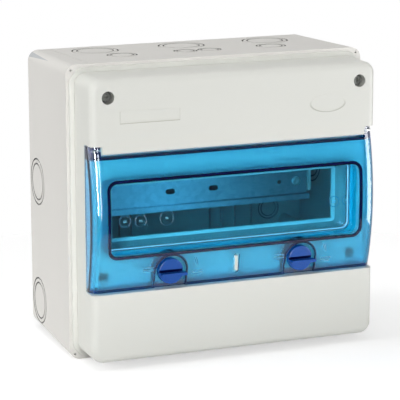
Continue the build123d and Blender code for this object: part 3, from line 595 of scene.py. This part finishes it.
# the pane's edge lies flat: painted shade as a dark bead just outside it, and a painted highlight as a bright
# bead just inside, where the pane's corner catches light
paneEdgeShade = dict(windowEdgeShade, width=0.2438, height=0.0645, thick=0.0015, deep=0.0014, offset=0.0009,
                flatY=-0.0647)
paneEdgeHighlight = dict(paneEdgeShade, thick=0.0013, deep=0.0009, offset=-0.0007, flatY=-0.0654)


def rimShape(look):
    # a squarish section carried round the window, following the bulged front or lying flat at one depth
    base, out = roundedOutline(look["width"], look["height"], look["corner"], look["cornerSteps"],
                               look["sideSteps"])
    side = evenTurns(look["sections"])[None, :]
    reach = look["offset"] + keptSign(np.cos(side), look["squareness"]) * look["thick"] / 2
    inwards = keptSign(np.sin(side), look["squareness"]) * look["deep"] / 2
    x = base[:, :1] + out[:, :1] * reach
    z = look["centreHeight"] + base[:, 1:] + out[:, 1:] * reach
    middle = look["flatY"] + 0 * z if "flatY" in look else skinY(z) + look["under"] + look["deep"] / 2
    points = np.stack([x, middle + inwards, z], axis=-1).reshape(-1, 3)
    return points, gridFaces(len(base), look["sections"], True, True).tolist()


makePiece("windowEdgeShade", [outwards(rimShape(windowEdgeShade))], edgeShadePlastic, "door_assembly")
makePiece("paneEdgeShade", [outwards(rimShape(paneEdgeShade))], edgeShadePlastic, "door_assembly")
makePiece("paneEdgeHighlight", [outwards(rimShape(paneEdgeHighlight))], paneHighlightAndTickPlastic, "door_assembly")

# Each knob pocket's dark edge, painted shade: an arch open downwards, under the front like the window's dark
# edge

knobPlace = {"x": 0.0645, "height": 0.0878}
pocketEdgeShade = {"radius": 0.0151, "foot": 0.0742, "thick": 0.0013, "deep": 0.0018, "under": 0.0003, "steps": 40,
             "sections": 8}


def archShape(centreX, centreHeight, look):
    # up one side, half a turn over the top and down the other, with a round section and pointed ends
    drop = centreHeight - look["foot"]
    length = 2 * drop + np.pi * look["radius"]
    along = np.linspace(0, length, look["steps"] + 1)[1:-1, None]
    turn = np.clip((along - drop) / look["radius"], 0, np.pi)
    fall = np.where(along < drop, drop - along, np.where(along > length - drop, along - length + drop, 0))
    side = evenTurns(look["sections"])[None, :]
    reach = look["radius"] + look["thick"] / 2 * (1 + np.cos(side))
    x = centreX - np.cos(turn) * reach
    z = centreHeight + np.sin(turn) * reach - fall
    y = skinY(z) + look["under"] + look["deep"] / 2 * (1 + np.sin(side))
    body = np.stack([x, y, z], axis=-1).reshape(-1, 3)
    middle = look["radius"] + look["thick"] / 2
    tipY = float(skinY(look["foot"])) + look["under"] + look["deep"] / 2
    tips = [(centreX - middle, tipY, look["foot"]), (centreX + middle, tipY, look["foot"])]
    return tippedTube(body, tips, look["steps"] - 1, look["sections"])


pocketShapes = [outwards(archShape(side * knobPlace["x"], knobPlace["height"], pocketEdgeShade))
                for side in (-1, 1)]
makePiece("pocketEdgeShades", pocketShapes, edgeShadePlastic, "door_assembly")

# Raised rings on the pane, each with plain ticks inside

paneMarks = {"paneY": -0.06525, "thick": 0.0005, "proud": 0.00016, "tick": (0.0020, 0.00014, 0.00026),
             "rings": ((-0.1020, 0.1334, 0.0055), (-0.0867, 0.1328, 0.0055), (-0.0614, 0.1333, 0.0066),
                       (0.1072, 0.1343, 0.0050), (0.1205, 0.1345, 0.0045)),
             "tickRows": (-0.0007, 0.0007), "tickSquareness": 0.7}
ringShapes, tickShapes = [], []
for ringX, ringZ, ringRadius in paneMarks["rings"]:
    ringShapes.append(outwards(ringTube((ringX, paneMarks["paneY"], ringZ), ringRadius, paneMarks["thick"],
                                        paneMarks["proud"])))
    for row in paneMarks["tickRows"]:
        tick = np.array(paneMarks["tick"])
        tickPlace = (ringX, paneMarks["paneY"], ringZ + row)
        tickShapes.append(outwards(pebble(tickPlace, tick, paneMarks["tickSquareness"])))
makePiece("paneRings", ringShapes, ringPlastic, "door_assembly")
makePiece("paneTicks", tickShapes, paneHighlightAndTickPlastic, "door_assembly")

# Turn marks beside each knob: a short arc on one side and two long ones on the other, with two plain
# bars on each side

turnMarks = {"thick": 0.0009, "proud": 0.00018, "shortArc": (0.0218, 146.0, 162.0),
             "longArc": (0.0248, 8.0, 30.0), "outerArc": (0.0262, 6.0, 28.0),
             "bars": ((-0.0222, 0.0052, 0.0048), (-0.0218, 0.0022, 0.0052), (0.0262, -0.0022, 0.0050),
                      (0.0256, -0.0050, 0.0046)),
             "barHalf": (0.00018, 0.00075), "barSquareness": 0.5}
turnShapes = []
for side in (-1, 1):
    knobCentre = (side * knobPlace["x"], knobPlace["height"])
    for arc in ("shortArc", "longArc", "outerArc"):
        radius, startTurn, endTurn = turnMarks[arc]
        turnShapes.append(outwards(arcBead(knobCentre, radius, startTurn, endTurn, turnMarks["thick"],
                                           turnMarks["proud"])))
    for barX, barZ, barReach in turnMarks["bars"]:
        barHeight = knobCentre[1] + barZ
        centre = (knobCentre[0] + barX, float(skinY(barHeight)), barHeight)
        barHalves = (barReach, *turnMarks["barHalf"])
        turnShapes.append(outwards(pebble(centre, barHalves, turnMarks["barSquareness"])))
makePiece("turnMarks", turnShapes, markPlastic, "door_assembly")

# Painted shade in each knob's slot: dark pieces on its floor and its roof

slotPaintedShade = {"finRise": 0.0040, "offset": 0.0003, "deep": 0.0018, "reach": 0.0113, "half": 0.00142,
              "proud": 0.00012, "roof": 0.00142, "roofHalf": 0.00085, "squareness": 0.3}
for side, body in ((-1, "latch_left"), (1, "latch_right")):
    hand = body.split("_")[1]
    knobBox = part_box("knob_" + hand)
    faceY = knobBox[0][1] + slotPaintedShade["finRise"]
    slotX, slotZ = side * knobPlace["x"], knobPlace["height"] + slotPaintedShade["offset"]
    bed = pebble((slotX, faceY + slotPaintedShade["deep"], slotZ),
                 (slotPaintedShade["reach"], slotPaintedShade["proud"], slotPaintedShade["half"]), slotPaintedShade["squareness"])
    roof = pebble((slotX, faceY + slotPaintedShade["deep"] / 2, slotZ + slotPaintedShade["roof"]),
                  (slotPaintedShade["reach"], slotPaintedShade["roofHalf"], slotPaintedShade["proud"]),
                  slotPaintedShade["squareness"])
    makePiece("slotPaintedShade_" + hand, [outwards(bed), outwards(roof)], edgeShadePlastic, body)
print("rim and marks made")


# Stage, light and camera

stageLook = {"floorRadius": 0.46, "floorRim": 96, "floorColour": (0.74, 0.74, 0.74), "floorGlow": 0.50,
             "worldStrength": 0.22, "roomAhead": 0.12, "roomBehind": 1.0, "aheadFrom": -0.78,
             "aheadTo": -0.35}
# each lamp: where it stands, width and height of its face, its power in watts, and whether it
# only shows as a gleam on shiny surfaces
lampLook = {
    "frontStrip": {"place": (-0.25, -2.1, 0.35), "face": (0.34, 1.30), "power": 26.0},
    "rightBox": {"place": (1.85, -0.75, 0.30), "face": (1.80, 1.50), "power": 6.0},
    "leftBox": {"place": (-2.00, 0.50, 0.70), "face": (1.60, 1.50), "power": 26.0},
    "topBox": {"place": (-0.20, 0.20, 2.30), "face": (1.40, 1.40), "power": 15.5},
    "leftGleam": {"place": (-1.25, -1.70, 0.62), "face": (0.45, 1.70), "power": 145.0, "gleam": True},
    "rightGleam": {"place": (1.647, -1.223, -0.40), "face": (1.60, 3.00), "power": 190.0, "gleam": True},
}
cameraLook = {"yaw": 21.951, "pitch": 12.598, "roll": 0.124, "distance": 1.96832,
              "target": (-0.006875, -0.01325, 0.13473), "focal": 2084.168, "frame": 400.0, "sensor": 36.0,
              "farthest": 50.0}
# a ray's depth is a whole number, so this tells none from one
noDepth = 0.5


def seenRays(tree):
    # one for rays from the camera, gloss and clear bodies, nought for those that carry light to a
    # matte surface
    rays = addNode(tree, "ShaderNodeLightPath").outputs
    plain = maths(tree, "MAXIMUM", rays["Is Camera Ray"], rays["Is Glossy Ray"])
    bent = maths(tree, "MAXIMUM", plain, rays["Is Transmission Ray"])
    direct = maths(tree, "LESS_THAN", rays["Diffuse Depth"], noDepth)
    return maths(tree, "MULTIPLY", bent, direct)


def floorMaterial(look):
    # pale diffuse floor with a little glow for what the camera and glass see, so that it goes to white
    material, tree = startMaterial("paleFloor")
    matte = addNode(tree, "ShaderNodeBsdfDiffuse", None, Color=(*look["floorColour"], 1))
    glow = addNode(tree, "ShaderNodeEmission", None, Color=(1, 1, 1, 1), Strength=look["floorGlow"])
    both = addNode(tree, "ShaderNodeAddShader")
    tree.links.new(matte.outputs["BSDF"], both.inputs[0])
    tree.links.new(glow.outputs["Emission"], both.inputs[1])
    surface = mixShaders(tree, seenRays(tree), matte.outputs["BSDF"], both.outputs["Shader"])
    return finishMaterial(material, tree, surface)


# a round table top: its rim is evenly turned points
turn = evenTurns(stageLook["floorRim"])
rim = stageLook["floorRadius"] * np.stack([np.cos(turn), np.sin(turn), np.zeros_like(turn)], axis=-1)
floorMesh = bpy.data.meshes.new("floor")
floorMesh.from_pydata(rim.tolist(), [], [list(range(len(rim)))])
floorMesh.materials.append(floorMaterial(stageLook))
floor = bpy.data.objects.new("floor", floorMesh)
bpy.context.scene.collection.objects.link(floor)

# the room: white to the camera, and in gloss and clear bodies white except for its darker end ahead
world = bpy.data.worlds.new("softRoom")
bpy.context.scene.world = world
world.use_nodes = True
worldTree = world.node_tree
worldTree.nodes.clear()
looking = addNode(worldTree, "ShaderNodeTexCoord")
sides = addNode(worldTree, "ShaderNodeSeparateXYZ", None, Vector=looking.outputs["Generated"])
roomGlow = remap(worldTree, sides.outputs["Y"], stageLook["aheadFrom"], stageLook["aheadTo"],
                 stageLook["roomAhead"], stageLook["roomBehind"], True)
dim = addNode(worldTree, "ShaderNodeBackground", None, Color=(1, 1, 1, 1),
              Strength=stageLook["worldStrength"])
room = addNode(worldTree, "ShaderNodeBackground", None, Color=(1, 1, 1, 1), Strength=roomGlow)
white = addNode(worldTree, "ShaderNodeBackground", None, Color=(1, 1, 1, 1), Strength=1.0)
rays = addNode(worldTree, "ShaderNodeLightPath")
lit = mixShaders(worldTree, seenRays(worldTree), dim.outputs["Background"], room.outputs["Background"])
shown = mixShaders(worldTree, rays.outputs["Is Camera Ray"], lit, white.outputs["Background"])
worldOut = addNode(worldTree, "ShaderNodeOutputWorld")
worldTree.links.new(shown, worldOut.inputs["Surface"])

middle = (lowest + highest) / 2
for lampName, lamp in lampLook.items():
    light = bpy.data.lights.new(lampName, "AREA")
    light.shape = "RECTANGLE"
    light.size, light.size_y = lamp["face"]
    light.energy = lamp["power"]
    lampObject = bpy.data.objects.new(lampName, light)
    bpy.context.scene.collection.objects.link(lampObject)
    place = np.array(lamp["place"])
    away = place - middle
    lampObject.location = place
    # lamps already shine through clear bodies with their shadow rays, so bent rays don't count them again
    lampObject.visible_transmission = False
    if lamp.get("gleam"):
        lampObject.visible_diffuse = False
        lampObject.visible_camera = False
    # the lamp's face points from its place to the middle of the part
    tilt = math.acos(away[2] / np.linalg.norm(away))
    lampObject.rotation_euler = (tilt, 0, math.atan2(away[1], away[0]) + math.pi / 2)

yaw, pitch, roll = (math.radians(cameraLook[key]) for key in ("yaw", "pitch", "roll"))
forward = np.array([math.sin(yaw) * math.cos(pitch), math.cos(yaw) * math.cos(pitch), -math.sin(pitch)])
cameraData = bpy.data.cameras.new("camera")
cameraData.sensor_width = cameraLook["sensor"]
cameraData.lens = cameraLook["focal"] / cameraLook["frame"] * cameraData.sensor_width
cameraData.clip_end = cameraLook["farthest"]
camera = bpy.data.objects.new("camera", cameraData)
camera.location = np.array(cameraLook["target"]) - forward * cameraLook["distance"]
camera.rotation_mode = "XYZ"
camera.rotation_euler = (math.pi / 2 - pitch, roll, -yaw)
bpy.context.scene.collection.objects.link(camera)
bpy.context.scene.camera = camera
bpy.context.scene.view_settings.view_transform = "Standard"
print("stage, lamps and camera placed")
